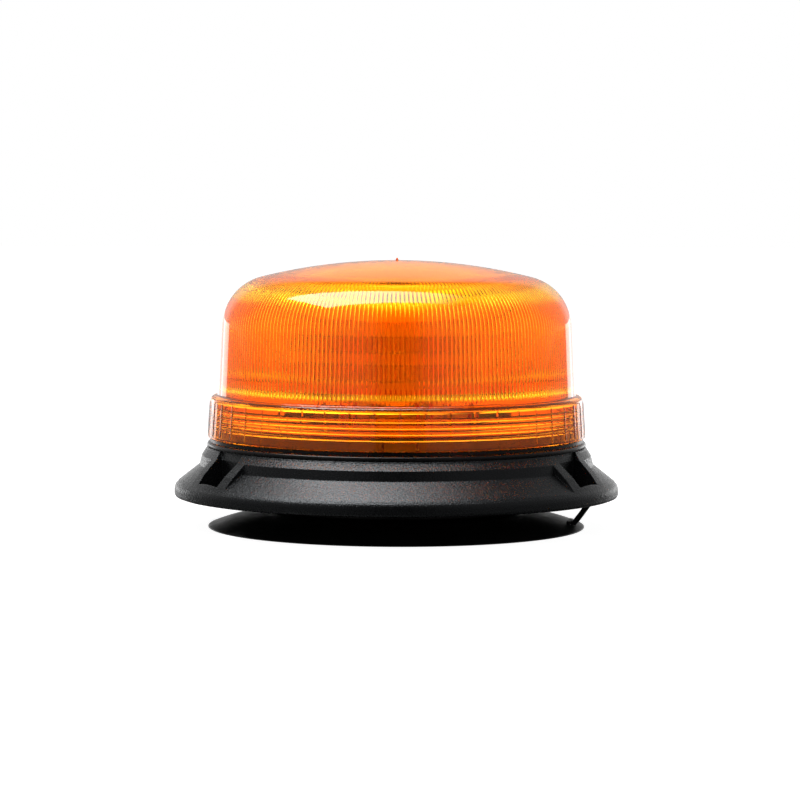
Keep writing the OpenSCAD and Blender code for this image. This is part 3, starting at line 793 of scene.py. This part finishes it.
def flat_object(name, corners, material):
    """One flat face through the corners."""
    mesh = bpy.data.meshes.new(name)
    mesh.from_pydata(corners, [], [tuple(range(len(corners)))])
    mesh.materials.append(material)
    obj = bpy.data.objects.new(name, mesh)
    bpy.context.scene.collection.objects.link(obj)
    return obj


def by_side(tree, front, back):
    """Makes the surface of the material show one shader on its front and another on its back."""
    side = tree.nodes.new("ShaderNodeNewGeometry")
    surface = mix_shaders(tree, side.outputs["Backfacing"], front, back)
    tree.links.new(surface, tree.nodes["Material Output"].inputs["Surface"])


def floor_material():
    """White with a faint contact shadow to the camera, a glow to light that has passed the lens, and
    dark and glossy to everything else."""
    material, tree = bare_material("pale_floor")
    place = tree.nodes.new("ShaderNodeTexCoord")
    length = tree.nodes.new("ShaderNodeVectorMath")
    length.operation = "LENGTH"
    tree.links.new(place.outputs["Object"], length.inputs[0])
    glow = emission(tree, map_range(tree, length.outputs["Value"], 0.97, 1.0, 0.12, 0.25))
    white = tree.nodes.new("ShaderNodeBsdfDiffuse")
    white.inputs["Color"].default_value = (0.4, 0.4, 0.4, 1)
    bright = tree.nodes.new("ShaderNodeAddShader")
    tree.links.new(glow, bright.inputs[0])
    tree.links.new(white.outputs["BSDF"], bright.inputs[1])
    grey = tree.nodes.new("ShaderNodeBsdfPrincipled")
    grey.inputs["Base Color"].default_value = (0.08, 0.08, 0.08, 1)
    grey.inputs["Roughness"].default_value = 0.15
    rays = tree.nodes.new("ShaderNodeLightPath")
    through = emission(tree, 1.3)
    unseen = mix_shaders(tree, rays.outputs["Is Transmission Ray"], grey.outputs["BSDF"], through)
    top = mix_shaders(tree, rays.outputs["Is Camera Ray"], unseen, bright.outputs["Shader"])
    clear = tree.nodes.new("ShaderNodeBsdfTransparent")
    by_side(tree, top, clear.outputs["BSDF"])
    return material


def build_stage():
    """White floor, seen only from above."""
    h = FLOOR_HALF
    floor = flat_object("floor", [(-h, -h, 0), (h, -h, 0), (h, h, 0), (-h, h, 0)], floor_material())


def area_light(name, place, aim, size, radiance):
    """Rectangular light, hidden from the camera."""
    data = bpy.data.lights.new(name, "AREA")
    data.shape = "RECTANGLE"
    data.size, data.size_y = size
    data.energy = radiance * math.pi * size[0] * size[1]
    light = bpy.data.objects.new(name, data)
    light.location = place
    light.rotation_euler = (Vector(aim) - Vector(place)).to_track_quat("-Z", "Y").to_euler()
    light.visible_camera = False
    bpy.context.scene.collection.objects.link(light)


def build_softbox():
    """Large softbox overhead, brightest over the left and fading out to the right, dark on its back."""
    material, tree = bare_material("softbox_cloth")
    along = coordinate(tree, "Object", "X")
    by_side(tree, emission(tree, map_range(tree, along, 6.8, 0.05, -0.12, 0.32)), emission(tree, 0))
    box = flat_object("softbox", SOFTBOX_CORNERS, material)
    box.location = (0, 0, SOFTBOX_Z)
    box.visible_camera = False


def build_bars():
    """Low bars of light behind the object, one in the middle and one at each side."""
    aim = (0.0, 0.0, BAR_Z)
    area_light("backdrop_bar", (0.0, 0.8, BAR_Z), aim, (0.84, BAR_HEIGHT), 0.9)
    for side in (-1, 1):
        area_light("side_bar", (side * 0.45, 0.72, BAR_Z), aim, (0.22, BAR_HEIGHT), 1.6)


def build_world():
    """White to the camera and bright to light that has passed the lens. What is mirrored is dim in
    front, and brighter at the flanks and behind the object."""
    world = bpy.data.worlds.new("studio")
    bpy.context.scene.world = world
    world.use_nodes = True
    tree = world.node_tree
    tree.nodes.clear()
    depth = coordinate(tree, "Generated", "Y")
    sideways = combine(tree, "ABSOLUTE", coordinate(tree, "Generated", "X"))
    beside = map_range(tree, sideways, 0.02, 0.36, 0.08, 0.5)
    flank = combine(tree, "MULTIPLY", beside, map_range(tree, depth, 0.5, 1.0, 0.2, 0.8))
    behind = map_range(tree, depth, 0.0, 0.5, 0.78, 0.92)
    mirrored = background(tree, combine(tree, "ADD", flank, behind))
    through = background(tree, 3.0)
    white = background(tree, 1.0)
    rays = tree.nodes.new("ShaderNodeLightPath")
    lit = mix_shaders(tree, rays.outputs["Is Transmission Ray"], mirrored, through)
    surface = mix_shaders(tree, rays.outputs["Is Camera Ray"], lit, white)
    out = tree.nodes.new("ShaderNodeOutputWorld")
    tree.links.new(surface, out.inputs["Surface"])


def build_camera():
    """Camera of the reference view: almost level, from the front, with a long lens."""
    distance, azimuth, elevation = 1.263, math.radians(-1.1), math.radians(5.07)
    pitch, yaw, roll = math.radians(1.014), math.radians(-0.057), math.radians(0.19)
    target = Vector((0, 0, 24.6 * MM))
    back = Vector((math.sin(azimuth) * math.cos(elevation), -math.cos(azimuth) * math.cos(elevation),
                   math.sin(elevation)))
    data = bpy.data.cameras.new("camera")
    data.sensor_width = 36
    data.lens = 152.55
    data.clip_start, data.clip_end = 0.01, 50
    camera = bpy.data.objects.new("camera", data)
    camera.location = target + back * distance
    camera.rotation_mode = "QUATERNION"
    aim = (-back).to_track_quat("-Z", "Y").to_matrix()
    aim = aim @ Matrix.Rotation(yaw, 3, "Y") @ Matrix.Rotation(pitch, 3, "X") @ Matrix.Rotation(roll, 3, "Z")
    camera.rotation_quaternion = aim.to_quaternion()
    bpy.context.scene.collection.objects.link(camera)
    bpy.context.scene.camera = camera


def set_view():
    """Plain view transform, and enough bounces to see through the whole lens."""
    scene = bpy.context.scene
    scene.view_settings.view_transform = "Standard"
    scene.cycles.use_denoising = True
    scene.cycles.transmission_bounces = 16
    scene.cycles.max_bounces = 16


build_camera()
dress_cad_nodes()
build_lens()
build_seal()
build_cup()
build_cup_lug()
build_strap()
build_stage()
build_softbox()
build_bars()
build_world()
set_view()
